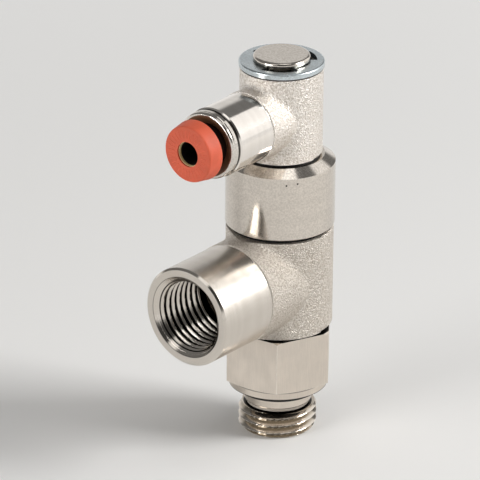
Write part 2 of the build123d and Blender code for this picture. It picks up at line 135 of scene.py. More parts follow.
class Sketch:
    """A node tree with short ways to add nodes and to join them."""

    def __init__(self, tree: bpy.types.NodeTree) -> None:
        """Empties the tree that is drawn in."""
        self.tree = tree
        tree.nodes.clear()

    def add(self, kind: str, inputs: Inputs | None = None, **settings: object) -> bpy.types.Node:
        """Adds a node.

        Args:
            kind: the node's type name.
            inputs: values or sockets for its inputs, by name or number.
            settings: properties of the node.

        Returns:
            The new node.
        """
        node = self.tree.nodes.new(kind)
        for name, value in settings.items():
            setattr(node, name, value)
        for name, value in (inputs or {}).items():
            if isinstance(value, bpy.types.NodeSocket):
                self.tree.links.new(value, node.inputs[name])
            else:
                node.inputs[name].default_value = value
        return node

    def math(self, operation: str, *values: Value) -> Socket:
        """One sum on numbers."""
        return self.add("ShaderNodeMath", dict(enumerate(values)), operation=operation).outputs[0]

    def product(self, *factors: Value) -> Socket:
        """Two or more numbers, multiplied."""
        return reduce(lambda first, second: self.math("MULTIPLY", first, second), factors)

    def spread(self, value: Value, low: float, high: float,
               start: float = 0.0, end: float = 1.0) -> Socket:
        """Turns low to high into start to end, smoothly and with nothing outside it."""
        inputs = {"Value": value, "From Min": low, "From Max": high, "To Min": start, "To Max": end}
        return self.add("ShaderNodeMapRange", inputs, interpolation_type="SMOOTHSTEP").outputs[0]

    def under(self, value: Value, limit: float, border: float) -> Socket:
        """Mask of the values under a limit, with a soft border to both sides of it."""
        return self.spread(value, limit + border, limit - border)

    def between(self, value: Value, start: float, end: float, border: float,
                strength: float = 1.0) -> Socket:
        """Mask of the values from start to end, with soft borders outside them."""
        begun = self.spread(value, start - border, start)
        return self.product(begun, self.spread(value, end + border, end, 0.0, strength))

    def blend(self, factor: Value, first: Value, second: Value) -> Socket:
        """Mixes two numbers."""
        inputs = {0: factor, 2: first, 3: second}
        return self.add("ShaderNodeMix", inputs, data_type="FLOAT").outputs[0]

    def tint(self, factor: Value, first: Value, second: Value) -> Socket:
        """Mixes two colours."""
        inputs = {0: factor, 6: first, 7: second}
        return self.add("ShaderNodeMix", inputs, data_type="RGBA").outputs[2]

    def noise(self, vector: Value, scale: Value, detail: float = 3.0, rough: float = 0.5) -> Socket:
        """Smooth noise from 0 to 1 in space."""
        inputs = {"Vector": vector, "Scale": scale, "Detail": detail, "Roughness": rough}
        return self.add("ShaderNodeTexNoise", inputs).outputs[0]

    def line_noise(self, along: Value) -> Socket:
        """Smooth noise from 0 to 1 along a line, one wave for each unit."""
        inputs = {"W": along, "Scale": 1.0, "Detail": 2.0}
        return self.add("ShaderNodeTexNoise", inputs, noise_dimensions="1D").outputs[0]

    def parts(self, vector: Value) -> bpy.types.NodeOutputs:
        """The X, Y and Z of a vector."""
        return self.add("ShaderNodeSeparateXYZ", {"Vector": vector}).outputs

    def vector(self, *parts: Value) -> Socket:
        """The vector of an X, a Y and a Z."""
        return self.add("ShaderNodeCombineXYZ", dict(enumerate(parts))).outputs[0]

    def radius(self, parts: bpy.types.NodeOutputs) -> Socket:
        """Distance of a place from the Z axis, from its X and Y."""
        squares = [self.product(parts[name], parts[name]) for name in "XY"]
        return self.math("SQRT", self.math("ADD", *squares))

    def compare(self, operation: str, first: Value, second: Value) -> Socket:
        """One number from two vectors, such as how far apart they are."""
        inputs = {0: first, 1: second}
        return self.add("ShaderNodeVectorMath", inputs, operation=operation).outputs["Value"]

    def bump(self, height: Socket, depth: float) -> Socket:
        """Normal of a surface that is raised by a height from 0 to 1 times a depth in metres."""
        inputs = {"Strength": 1.0, "Distance": depth, "Height": height}
        return self.add("ShaderNodeBump", inputs).outputs[0]


class Effect(ABC):
    """A shader node group that several finishes share. It is built once and placed with values.

    Attributes:
        name: the group's name.
        inputs: its inputs beside the position, with their usual values.
        outputs: its outputs.
    """

    name: ClassVar[str]
    inputs: ClassVar[dict[str, float]]
    outputs: ClassVar[tuple[str, ...]]

    @classmethod
    def group(cls) -> bpy.types.NodeTree:
        """The effect's node group, made at the first call.

        Returns:
            The node group.
        """
        found = bpy.data.node_groups.get(cls.name)
        if found:
            return found
        tree = bpy.data.node_groups.new(cls.name, "ShaderNodeTree")
        tree.interface.new_socket("Position", in_out="INPUT", socket_type="NodeSocketVector")
        for name, value in cls.inputs.items():
            socket = tree.interface.new_socket(name, in_out="INPUT", socket_type="NodeSocketFloat")
            socket.default_value = value
        for name in cls.outputs:
            tree.interface.new_socket(name, in_out="OUTPUT", socket_type="NodeSocketFloat")
        sketch = Sketch(tree)
        sketch.add("NodeGroupOutput", cls.draw(sketch, sketch.add("NodeGroupInput").outputs))
        return tree

    @classmethod
    @abstractmethod
    def draw(cls, sketch: Sketch, given: bpy.types.NodeOutputs) -> Inputs:
        """Draws the group's nodes.

        Args:
            sketch: the group's node tree.
            given: its inputs, by name.

        Returns:
            The sockets of its outputs, by name.
        """

    @classmethod
    def place(cls, sketch: Sketch, position: Socket, **values: float) -> bpy.types.NodeOutputs:
        """Places the effect in a material, at a position on the piece and with its own values."""
        inputs = {"Position": position, **values}
        return sketch.add("ShaderNodeGroup", inputs, node_tree=cls.group()).outputs


class BlastGrain(Effect):
    """Grain that grit leaves on metal: small dents side by side, and bright and dark specks."""

    name = "blast_grain"
    inputs = {"Grain": 0.25 * MM, "Clumping": 0.4}
    outputs = ("Height", "Speck")

    @classmethod
    def draw(cls, sketch: Sketch, given: bpy.types.NodeOutputs) -> Inputs:
        """Mixes rounded dents with finer and coarser noise.

        Args:
            sketch: the group's node tree.
            given: its inputs, by name.

        Returns:
            The height of the grain and the tone of its specks.
        """
        position = given["Position"]
        scale = sketch.math("DIVIDE", 1.0, given["Grain"])
        cells = {"Vector": position, "Scale": scale}
        dents = sketch.add("ShaderNodeTexVoronoi", cells, feature="SMOOTH_F1").outputs["Distance"]
        fine = sketch.noise(position, sketch.product(scale, 1.7), 2.0)
        coarse = sketch.noise(position, sketch.product(scale, 0.3), 2.0)
        height = sketch.math("ADD", sketch.product(dents, 0.7), fine)
        return {
            "Height": sketch.math("MULTIPLY_ADD", coarse, given["Clumping"], height),
            "Speck": sketch.spread(sketch.noise(position, scale, 1.0), 0.34, 0.6),
        }


class LatheRings(Effect):
    """Fine rings that a turning tool leaves round an axis, a little uneven one to the next."""

    name = "lathe_rings"
    inputs = {"Pitch": 0.08 * MM, "Unevenness": 0.25}
    outputs = ("Height", "Tone")

    @classmethod
    def draw(cls, sketch: Sketch, given: bpy.types.NodeOutputs) -> Inputs:
        """Rings follow the height along the axis on a side, and the radius on an end face.

        Args:
            sketch: the group's node tree.
            given: its inputs, by name.

        Returns:
            The height of the rings and their tone.
        """
        parts = sketch.parts(given["Position"])
        run = sketch.math("ADD", sketch.radius(parts), parts["Z"])
        run = sketch.math("DIVIDE", run, given["Pitch"])
        broad = sketch.line_noise(sketch.product(run, 0.06))
        fine = sketch.line_noise(run)
        return {
            "Height": sketch.math("MULTIPLY_ADD", broad, given["Unevenness"], fine),
            "Tone": sketch.spread(broad, *NOISE_RANGE),
        }


class Patina(Effect):
    """Soft clouds in the tone of plating, and a few small pits."""

    name = "patina"
    inputs = {"Patch": 4.0 * MM, "Pit": 0.35 * MM, "Pits": 0.0}
    outputs = ("Cloud", "Pitted")

    @classmethod
    def draw(cls, sketch: Sketch, given: bpy.types.NodeOutputs) -> Inputs:
        """Clouds from noise, and pits where a sparse scatter of points lies close by.

        Args:
            sketch: the group's node tree.
            given: its inputs, by name.

        Returns:
            The clouds and the mask of the pits.
        """
        place = {"Vector": given["Position"], "Scale": sketch.math("DIVIDE", 1.0, given["Patch"])}
        cloud = sketch.noise(place["Vector"], place["Scale"], 4.0, 0.6)
        cells = sketch.add("ShaderNodeTexVoronoi", place).outputs
        near = sketch.product(cells["Distance"], given["Patch"])
        pit = sketch.math("LESS_THAN", near, sketch.product(given["Pit"], 0.5))
        chosen = sketch.add("ShaderNodeSeparateColor", {"Color": cells["Color"]}).outputs[0]
        rare = sketch.math("LESS_THAN", chosen, given["Pits"])
        return {"Cloud": sketch.spread(cloud, *NOISE_RANGE), "Pitted": sketch.product(pit, rare)}


class EdgeWear(Effect):
    """Mask of the outer edges, where plating is rubbed bright, broken up by noise."""

    name = "edge_wear"
    inputs = {"Width": 0.12 * MM, "Breakup": 0.5 * MM}
    outputs = ("Edge",)

    @classmethod
    def draw(cls, sketch: Sketch, given: bpy.types.NodeOutputs) -> Inputs:
        """Compares the face's own direction with that of a rounded edge.

        Args:
            sketch: the group's node tree.
            given: its inputs, by name.

        Returns:
            The mask of the edges.
        """
        soft = sketch.add("ShaderNodeBevel", {"Radius": given["Width"]}, samples=4).outputs[0]
        plain = sketch.add("ShaderNodeNewGeometry").outputs["Normal"]
        edge = sketch.spread(sketch.compare("DOT_PRODUCT", soft, plain), 0.995, 0.9)
        scale = sketch.math("DIVIDE", 1.0, given["Breakup"])
        broken = sketch.spread(sketch.noise(given["Position"], scale, 2.0), 0.2, 0.55, 0.35, 1.0)
        return {"Edge": sketch.product(edge, broken)}


# Finishes

@dataclass(frozen=True)
class Finish(ABC):
    """What every finish has.

    Attributes:
        name: the material's name.
        colour: its plain colour.
        roughness: its plain roughness.
    """

    name: str
    colour: Colour
    roughness: float

    def material(self) -> bpy.types.Material:
        """The finish's material, made at the first call.

        Returns:
            The material.
        """
        found = bpy.data.materials.get(self.name)
        if found:
            return found
        material = bpy.data.materials.new(self.name)
        material.use_nodes = True
        sketch = Sketch(material.node_tree)
        position = sketch.add("ShaderNodeTexCoord").outputs["Object"]
        shader = sketch.add("ShaderNodeBsdfPrincipled", self.paint(sketch, position))
        sketch.add("ShaderNodeOutputMaterial", {"Surface": shader.outputs[0]})
        return material

    @abstractmethod
    def paint(self, sketch: Sketch, position: Socket) -> Inputs:
        """Draws what changes over the surface.

        Args:
            sketch: the material's node tree.
            position: the place on the piece, in metres.

        Returns:
            The inputs of its Principled shader, by name.
        """

    def clouded(self, sketch: Sketch, mask: Socket, *shares: float) -> Socket:
        """Colour that a mask takes from a share of the plain one to the whole of it."""
        return sketch.tint(mask, toned(self.colour, *shares), self.colour)

    def varied(self, sketch: Sketch, mask: Socket, low: float, high: float) -> Socket:
        """Roughness that a mask takes from one share of the plain one to another."""
        return sketch.spread(mask, 0.0, 1.0, self.roughness * low, self.roughness * high)

    def dress(self, piece: bpy.types.Object) -> bpy.types.Object:
        """Gives the finish to a piece, in every slot that it has.

        Args:
            piece: the piece.

        Returns:
            The same piece.
        """
        material = self.material()
        if not piece.material_slots:
            piece.data.materials.append(material)
        for slot in piece.material_slots:
            slot.material = material
        return piece


@dataclass(frozen=True)
class PaintedShadeBand:
    """Narrow place round an axis where the metal's colour is painted dark, as painted shade in a
    groove, gap or recess.

    Attributes:
        start: distance along the axis at which it starts.
        end: distance at which it ends.
        inner: radius from which it reaches outwards.
        outer: radius to which it reaches.
        soft: width of its soft borders along the axis.
        strength: how much of the metal's own colour it hides.
        rim: width of its soft borders across the axis.
    """

    start: float
    end: float
    inner: float
    outer: float
    soft: float = 0.03 * MM
    strength: float = 1.0
    rim: float = 0.05 * MM

    def mask(self, sketch: Sketch, radius: Socket, along: Socket) -> Socket:
        """Where the band lies.

        Args:
            sketch: the material's node tree.
            radius: distance of the place from the axis.
            along: distance of the place along the axis.

        Returns:
            The mask, from 0 to 1.
        """
        across = sketch.between(radius, self.inner, self.outer, self.rim)
        length = sketch.between(along, self.start, self.end, self.soft, self.strength)
        return sketch.product(across, length)


def shade(sketch: Sketch, colour: Value, bands: Sequence[PaintedShadeBand], radius: Socket,
          along: Socket) -> Value:
    """Lays bands of painted shade over a colour.

    Args:
        sketch: the material's node tree.
        colour: the colour under them.
        bands: the bands.
        radius: distance of the place from their axis.
        along: distance of the place along it.

    Returns:
        The colour with the bands.
    """
    for band in bands:
        # Painted shade: each band darkens the colour towards near black.
        colour = sketch.tint(band.mask(sketch, radius, along), colour, PAINTED_SHADE)
    return colour


def about(sketch: Sketch, position: Socket, axis: Axis) -> Socket:
    """Position with its Z along the axis that a piece was turned about.

    Args:
        sketch: the material's node tree.
        position: the place on the piece.
        axis: the turning axis.

    Returns:
        The same place, seen from that axis.
    """
    if axis is Axis.MAIN:
        return position
    parts = sketch.parts(position)
    across = sketch.math("SUBTRACT", parts["Z"], axis.value)
    return sketch.vector(parts["X"], across, sketch.product(parts["Y"], -1.0))


@dataclass(frozen=True)
class TurnedMetal(Finish):
    """Plated or bare metal, straight from the lathe.

    Attributes:
        axis: the axis that it was turned about.
        ring_pitch: distance between tool marks.
        ring_depth: how deep they are.
        pits: share of the cells that hold a small pit.
        pit_depth: depth of a pit, as a multiple of the tool marks' depth.
        speck: size of the dull specks.
        speck_strength: how much they hide at most.
        edge_colour: colour of the rubbed edges.
        inside_radius: radius under which the metal is dull and painted dark brown, as painted
        shade and a painted reflection of the orange collet.
        inside_shade_colour: its painted colour there.
        inside_roughness: its roughness there.
        inside_metallic: how clean the metal is there.
        inside_border: half the width of the border between the two.
        bands: places of painted shade.
        metallic: 1 is clean metal, and less is metal dulled by its cut surface.
        nicks: middles of small dark nicks.
        nick_radius: their radius.
    """

    axis: Axis = Axis.MAIN
    ring_pitch: float = 0.09 * MM
    ring_depth: float = 0.0012 * MM
    pits: float = 0.0
    pit_depth: float = 6.0
    speck: float = 0.3 * MM
    speck_strength: float = 0.24
    edge_colour: Colour = RUBBED_NICKEL
    inside_radius: float = 0.0
    inside_shade_colour: Colour = srgb(140, 98, 68)
    inside_roughness: float = 0.4
    inside_metallic: float = 0.15
    inside_border: float = 0.04 * MM
    bands: tuple[PaintedShadeBand, ...] = ()
    metallic: float = 1.0
    nicks: tuple[tuple[float, float, float], ...] = ()
    nick_radius: float = 0.2 * MM

    def paint(self, sketch: Sketch, position: Socket) -> Inputs:
        """Draws tool marks, clouds in the plating, bright edges, and painted shade inside and in
        bands.

        Args:
            sketch: the material's node tree.
            position: the place on the piece, in metres.

        Returns:
            The inputs of its Principled shader, by name.
        """
        place = about(sketch, position, self.axis)
        parts = sketch.parts(place)
        radius = sketch.radius(parts)
        rings = LatheRings.place(sketch, place, Pitch=self.ring_pitch)
        patina = Patina.place(sketch, position, Pits=self.pits)
        edge = EdgeWear.place(sketch, position)["Edge"]
        tone = sketch.product(sketch.math("ADD", rings["Tone"], patina["Cloud"]), 0.5)
        colour = self.clouded(sketch, tone, 0.93)
        specks = sketch.noise(position, 1.0 / self.speck, 2.0)
        specks = sketch.spread(specks, *NOISE_RANGE, self.speck_strength, 0.0)
        colour = sketch.tint(specks, colour, SPECK_BROWN)
        colour = sketch.tint(sketch.product(edge, EDGE_STRENGTH), colour, self.edge_colour)
        colour = sketch.tint(patina["Pitted"], colour, PIT_BROWN)
        for nick in self.nicks:
            apart = sketch.compare("DISTANCE", position, nick)
            hidden = sketch.spread(apart, self.nick_radius, self.nick_radius * 0.6)
            colour = sketch.tint(hidden, colour, NICK_BROWN)
        rough = self.varied(sketch, patina["Cloud"], 0.85, 1.2)
        metallic = self.metallic
        # Painted shade and painted reflection: inside the radius the metal is painted dark brown.
        if self.inside_radius:
            inside = sketch.under(radius, self.inside_radius, self.inside_border)
            colour = sketch.tint(inside, colour, self.inside_shade_colour)
            rough = sketch.blend(inside, rough, self.inside_roughness)
            metallic = sketch.blend(inside, self.metallic, self.inside_metallic)
        pitted = sketch.product(patina["Pitted"], self.pit_depth)
        height = sketch.math("SUBTRACT", rings["Height"], pitted)
        return {
            "Base Color": shade(sketch, colour, self.bands, radius, parts["Z"]),
            "Metallic": metallic,
            "Roughness": rough,
            "Normal": sketch.bump(height, self.ring_depth),
        }


@dataclass(frozen=True)
class BlastedMetal(Finish):
    """Plated body with a blasted barrel and a smooth turned arm.

    Attributes:
        axis: the port's axis.
        arm_start: distance from the main axis at which the arm is turned smooth.
        arm_border: how far the grain fades before that and after it.
        grain: size of the grain.
        grain_depth: depth of the grain.
        grain_shade: what is left of red, green and blue in the grain's dark specks.
        clouding: how much the clouds in the plating hide at most.
        arm_roughness: roughness of the turned arm.
        ring_pitch: distance between its tool marks.
        ring_depth: how deep they are, as a share of the grain's depth.
        ring_tone: tone between the marks, from 0, dark as the specks, to 1, bright.
        mouth_radius: radius within which the port is bright inside.
        bright_roughness: roughness of the bright places, where the arm isn't smoother still.
        lip: distances from the main axis between which the arm's edge is bright.
        bands: places of painted shade round the port's axis.
        barrel_bands: places of painted shade round the main axis.
    """

    axis: Axis = Axis.SIDE_PORT
    arm_start: float = 12.3 * MM
    arm_border: tuple[float, float] = (0.1 * MM, 0.2 * MM)
    grain: float = 0.3 * MM
    grain_depth: float = 0.2 * MM
    grain_shade: tuple[float, float, float] = (0.74, 0.71, 0.67)
    clouding: float = 0.12
    arm_roughness: float = 0.15
    ring_pitch: float = 0.1 * MM
    ring_depth: float = 0.035
    ring_tone: float = 0.84
    mouth_radius: float = 7.0 * MM
    bright_roughness: float = 0.1
    lip: tuple[float, float] = (24.17 * MM, 24.47 * MM)
    bands: tuple[PaintedShadeBand, ...] = ()
    barrel_bands: tuple[PaintedShadeBand, ...] = ()

    def paint(self, sketch: Sketch, position: Socket) -> Inputs:
        """Draws grain on the barrel that stops at the arm's root, tool marks past it, and painted
        shade.

        Args:
            sketch: the material's node tree.
            position: the place on the piece, in metres.

        Returns:
            The inputs of its Principled shader, by name.
        """
        parts = sketch.parts(position)
        reach = sketch.product(parts["Y"], -1.0)
        before, after = self.arm_border
        turned = sketch.spread(reach, self.arm_start - before, self.arm_start + after)
        place = about(sketch, position, self.axis)
        radius = sketch.radius(sketch.parts(place))
        grain = BlastGrain.place(sketch, position, Grain=self.grain)
        rings = LatheRings.place(sketch, place, Pitch=self.ring_pitch)
        patina = Patina.place(sketch, position, Patch=5.0 * MM)
        edge = EdgeWear.place(sketch, position)["Edge"]
        marks = sketch.spread(rings["Tone"], 0.0, 1.0, self.ring_tone, 1.0)
        tone = sketch.blend(turned, grain["Speck"], marks)
        colour = self.clouded(sketch, tone, *self.grain_shade)
        cloud = sketch.spread(patina["Cloud"], 0.0, 1.0, 0.0, self.clouding)
        colour = sketch.tint(cloud, colour, toned(self.colour, *self.grain_shade))
        colour = sketch.tint(sketch.product(edge, EDGE_STRENGTH), colour, RUBBED_NICKEL)
        # Painted shade: dark bands in grooves, thread valleys and under the washer's rim.
        colour = shade(sketch, colour, self.bands, radius, reach)
        colour = shade(sketch, colour, self.barrel_bands, sketch.radius(parts), parts["Z"])
        inside = sketch.spread(radius, self.mouth_radius, self.mouth_radius - 0.05 * MM)
        bright = sketch.math("MAXIMUM", inside, sketch.between(reach, *self.lip, 0.02 * MM))
        brightest = min(self.arm_roughness, self.bright_roughness)
        arm = sketch.blend(bright, self.arm_roughness, brightest)
        barrel = self.varied(sketch, grain["Speck"], 1.3, 0.75)
        fine = sketch.product(rings["Height"], self.ring_depth)
        height = sketch.blend(turned, grain["Height"], fine)
        return {
            "Base Color": colour,
            "Metallic": 1.0,
            "Roughness": sketch.blend(turned, barrel, arm),
            "Normal": sketch.bump(height, self.grain_depth),
        }


@dataclass(frozen=True)
class BarMetal(Finish):
    """Plated stem: satin flats of drawn hexagon bar above, bright turned thread and neck below.

    Attributes:
        turned_below: height under which the stem is turned bright.
        streak: width of the drawing marks on the flats.
        streak_stretch: a mark's width as a share of its length.
        turned_roughness: roughness of the bright part.
        relief: depth of the marks.
        ring_share: height of the tool marks, as a share of that depth.
        edge_colour: colour of the rubbed edges.
        edge_width: width of the rubbed edges.
        thread_top: height of the thread's upper end.
        crest_radius: radius from which the thread is free of painted shade.
        root_radius: radius under which its valleys are painted darker, as painted shade.
        valley_shade_strength: how much the painted shade hides there.
        bore_edge: radii between which the painted shade ends, so that the bore stays free of it.
        dull: heights between which the neck's foot is dull.
        dull_fades: lengths of the dull place's lower and upper borders.
        dull_metallic: how clean the metal is there.
        bands: places of painted shade: the groove above the thread, the foot's lower rim,
        under the flats' edges, and the hexagon's top.
    """

    turned_below: float = 8.15 * MM
    streak: float = 0.12 * MM
    streak_stretch: float = 0.04
    turned_roughness: float = 0.13
    relief: float = 0.004 * MM
    ring_share: float = 0.3
    edge_colour: Colour = srgb(244, 238, 230)
    edge_width: float = 0.18 * MM
    thread_top: float = 4.4 * MM
    crest_radius: float = 6.46 * MM
    root_radius: float = 6.02 * MM
    valley_shade_strength: float = 0.6
    bore_edge: tuple[float, float] = (5.0 * MM, 5.2 * MM)
    dull: tuple[float, float] = (4.7 * MM, 5.4 * MM)
    dull_fades: tuple[float, float] = (0.04 * MM, 0.25 * MM)
    dull_metallic: float = 0.2
    # Painted shade: the groove above the thread, the foot's lower rim, under the flats' edges, the
    # hexagon's top.
    bands: tuple[PaintedShadeBand, ...] = (
        PaintedShadeBand(4.39 * MM, 4.65 * MM, 5.0 * MM, 5.75 * MM, 0.02 * MM),
        PaintedShadeBand(8.1 * MM, 8.27 * MM, 8.1 * MM, 8.4 * MM, 0.05 * MM, 0.9),
        PaintedShadeBand(9.38 * MM, 9.53 * MM, 8.2 * MM, 8.32 * MM, 0.12 * MM, 0.55),
        PaintedShadeBand(19.2 * MM, 19.3 * MM, 7.0 * MM, 9.35 * MM, 0.02 * MM),
    )

    def paint(self, sketch: Sketch, position: Socket) -> Inputs:
        """Draws upright marks on the flats, tool marks on the thread, bright edges, and painted
        shade.

        Args:
            sketch: the material's node tree.
            position: the place on the piece, in metres.

        Returns:
            The inputs of its Principled shader, by name.
        """
        parts = sketch.parts(position)
        height = parts["Z"]
        radius = sketch.radius(parts)
        facing = sketch.add("ShaderNodeTexCoord").outputs["Normal"]
        level = sketch.spread(sketch.math("ABSOLUTE", sketch.parts(facing)["Z"]), 0.1, 0.3)
        bright = sketch.math("MAXIMUM", sketch.under(height, self.turned_below, 0.1 * MM), level)
        drawn = sketch.vector(parts["X"], parts["Y"], sketch.product(height, self.streak_stretch))
        marks = sketch.noise(drawn, 1.0 / self.streak, 3.0, 0.6)
        rings = LatheRings.place(sketch, position)
        patina = Patina.place(sketch, position, Patch=3.0 * MM)
        edge = EdgeWear.place(sketch, position, Width=self.edge_width)["Edge"]
        tone = sketch.blend(bright, sketch.spread(marks, *NOISE_RANGE), rings["Tone"])
        tone = sketch.blend(0.5, tone, patina["Cloud"])
        colour = self.clouded(sketch, tone, 0.86)
        colour = sketch.tint(edge, colour, self.edge_colour)
        # Painted shade: the thread's valleys are painted darker.
        valley_shade = sketch.product(
            sketch.spread(radius, self.crest_radius, self.root_radius, 0.0, self.valley_shade_strength),
            sketch.under(height, self.thread_top, 0.02 * MM),
            sketch.spread(radius, *self.bore_edge),
        )
        colour = sketch.tint(valley_shade, colour, THREAD_VALLEY_SHADE)
        dull = sketch.product(
            sketch.spread(height, self.dull[0] - self.dull_fades[0], self.dull[0]),
            sketch.spread(height, self.dull[1], self.dull[1] - self.dull_fades[1]),
        )
        flats = self.varied(sketch, patina["Cloud"], 0.9, 1.15)
        rough = sketch.blend(bright, flats, self.turned_roughness)
        relief = sketch.blend(bright, marks, sketch.product(rings["Height"], self.ring_share))
        return {
            "Base Color": shade(sketch, colour, self.bands, radius, height),
            "Metallic": sketch.blend(dull, 1.0, self.dull_metallic),
            "Roughness": sketch.blend(edge, rough, self.turned_roughness),
            "Normal": sketch.bump(relief, self.relief),
        }


@dataclass(frozen=True)
class MouldedPlastic(Finish):
    """Coloured moulded plastic with a faint eroded texture.

    Attributes:
        texture: size of the texture's grain.
        texture_depth: its depth.
        unshaded_from: distance from the main axis from which it is free of painted shade.
        shade_border: length over which the painted shade ends.
    """

    texture: float = 0.09 * MM
    texture_depth: float = 0.004 * MM
    unshaded_from: float = 21.45 * MM
    shade_border: float = 0.15 * MM

    def paint(self, sketch: Sketch, position: Socket) -> Inputs:
        """Draws flow clouds in the colour, lighter rubbed edges, a fine grain, and painted shade
        behind the disc.

        Args:
            sketch: the material's node tree.
            position: the place on the piece, in metres.

        Returns:
            The inputs of its Principled shader, by name.
        """
        grain = BlastGrain.place(sketch, position, Grain=self.texture)
        patina = Patina.place(sketch, position, Patch=2.5 * MM)
        edge = EdgeWear.place(sketch, position, Width=0.2 * MM)["Edge"]
        light = tuple(min(1.0, 1.22 * part + 0.02) for part in self.colour[:3]) + (1.0,)
        colour = self.clouded(sketch, patina["Cloud"], 0.86)
        colour = sketch.tint(sketch.product(edge, 0.7), colour, light)
        # Painted shade: the collet is painted dark brown behind its disc, in the gap before the
        # cap.
        reach = sketch.parts(position)["Y"]
        behind = sketch.spread(reach, -self.unshaded_from, self.shade_border - self.unshaded_from)
        rough = sketch.spread(grain["Speck"], 0.0, 1.0, self.roughness, self.roughness + 0.12)
        return {
            "Base Color": sketch.tint(behind, colour, COLLET_RECESS_SHADE),
            "Roughness": rough,
            "Specular IOR Level": 0.45,
            "Subsurface Weight": 0.08,
            "Subsurface Scale": 0.4 * MM,
            "Normal": sketch.bump(grain["Height"], self.texture_depth),
        }


@dataclass(frozen=True)
class Rubber(Finish):
    """Black moulded rubber, slightly glossy from its grease."""

    def paint(self, sketch: Sketch, position: Socket) -> Inputs:
        """Draws greasy clouds on an even black.

        Args:
            sketch: the material's node tree.
            position: the place on the piece, in metres.

        Returns:
            The inputs of its Principled shader, by name.
        """
        cloud = Patina.place(sketch, position, Patch=1.2 * MM)["Cloud"]
        grain = BlastGrain.place(sketch, position, Grain=0.05 * MM)
        light = toned(self.colour, 2.2)
        return {
            "Base Color": sketch.tint(sketch.product(cloud, 0.6), self.colour, light),
            "Roughness": self.varied(sketch, cloud, 0.7, 1.2),
            "Specular IOR Level": 0.2,
            "Normal": sketch.bump(grain["Height"], 0.002 * MM),
        }


STEM_NICKEL = BarMetal("stem_nickel", srgb(224, 214, 202), 0.42)
COLLAR_NICKEL = TurnedMetal(
    "collar_nickel", srgb(229, 221, 211), 0.13, pits=0.04,
    nicks=((6.45 * MM, -6.47 * MM, 47.6 * MM), (7.64 * MM, -5.02 * MM, 47.8 * MM)),
)
# Painted shade: the cap's inner recess is painted dark brown, and the groove behind it dark.
CAP_NICKEL = TurnedMetal(
    "cap_nickel", srgb(232, 226, 218), 0.1, axis=Axis.PILOT_PORT, ring_depth=0.0004 * MM,
    inside_radius=5.2 * MM,
    bands=(PaintedShadeBand(17.6 * MM, 18.14 * MM, 5.0 * MM, 5.5 * MM, 0.01 * MM, 0.5),),
)
RETAINER_NICKEL = TurnedMetal("retainer_nickel", srgb(226, 218, 208), 0.3)
# Painted shade: the side port's thread valleys, and a thin dark line at the mouth's rim.
RING_NICKEL = BlastedMetal(
    "ring_nickel", srgb(216, 209, 200), 0.46, grain=0.26 * MM, arm_roughness=0.27, ring_depth=0.05,
    bands=(PaintedShadeBand(12.6 * MM, 23.7 * MM, 6.12 * MM, 6.64 * MM, 0.1 * MM),
           PaintedShadeBand(24.2 * MM, 24.6 * MM, 6.98 * MM, 7.02 * MM, 0.05 * MM, 0.7)),
)
# Painted shade: the pilot port's end groove, and a dark line under the washer's rim.
ELBOW_NICKEL = BlastedMetal(
    "elbow_nickel", srgb(244, 238, 231), 0.37, axis=Axis.PILOT_PORT, arm_start=9.2 * MM,
    grain_depth=0.18 * MM, arm_roughness=0.12, ring_depth=0.016, mouth_radius=5.0 * MM,
    bands=(PaintedShadeBand(17.57 * MM, 17.8 * MM, 5.0 * MM, 5.66 * MM, 0.01 * MM, 0.85),),
    barrel_bands=(PaintedShadeBand(65.2 * MM, 65.6 * MM, 6.7 * MM, 7.2 * MM, 0.04 * MM, 0.9),),
)
ZINC = TurnedMetal(
    "washer_zinc", srgb(216, 226, 230), 0.3, ring_depth=0.0015 * MM, pits=0.3,
    edge_colour=srgb(238, 244, 247),
)
SPRING_STEEL = TurnedMetal("spring_steel", srgb(188, 188, 192), 0.28)
GRIP_STEEL = TurnedMetal("grip_steel", srgb(196, 196, 198), 0.25, axis=Axis.PILOT_PORT)
BRASS = TurnedMetal("inner_brass", srgb(232, 196, 120), 0.24, edge_colour=srgb(250, 226, 168))
# Painted shade: the liner is painted near black deeper than its front part.
LINER_BRASS = TurnedMetal(
    "liner_brass", srgb(255, 232, 172), 0.42, axis=Axis.PILOT_PORT, metallic=0.0,
    edge_colour=srgb(252, 236, 186),
    bands=(PaintedShadeBand(0.0, 23.35 * MM, 0.0, 2.9 * MM, 0.1 * MM),),
)
ORANGE = MouldedPlastic("collet_orange", srgb(222, 98, 67), 0.5)
RUBBER = Rubber("seal_rubber", srgb(16, 16, 17), 0.5)


# Mesh tools

def add_mesh(name: str, body: Body, mesh: bpy.types.Mesh) -> bpy.types.Object:
    """Puts a mesh into the scene as a piece of a body.

    Args:
        name: the piece's name.
        body: the body that it rides on.
        mesh: its mesh, in place.

    Returns:
        The new piece.
    """
    mesh.name = name
    piece = bpy.data.objects.new(name, mesh)
    bpy.context.scene.collection.objects.link(piece)
    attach(piece, body.value)
    return piece


def finish_mesh(form: bmesh.types.BMesh, sharp_angle: float = 30.0) -> bpy.types.Mesh:
    """Turns an edited form into a mesh with smooth faces and sharp edges.

    Args:
        form: the form, which is freed.
        sharp_angle: edges that turn by more degrees than this stay sharp.

    Returns:
        The mesh.
    """
    bmesh.ops.recalc_face_normals(form, faces=form.faces)
    mesh = bpy.data.meshes.new("made")
    form.to_mesh(mesh)
    form.free()
    kept_normals = mesh.attributes.get("custom_normal")
    if kept_normals:
        mesh.attributes.remove(kept_normals)
    mesh.polygons.foreach_set("use_smooth", [True] * len(mesh.polygons))
    mesh.set_sharp_from_angle(angle=math.radians(sharp_angle))
    return mesh


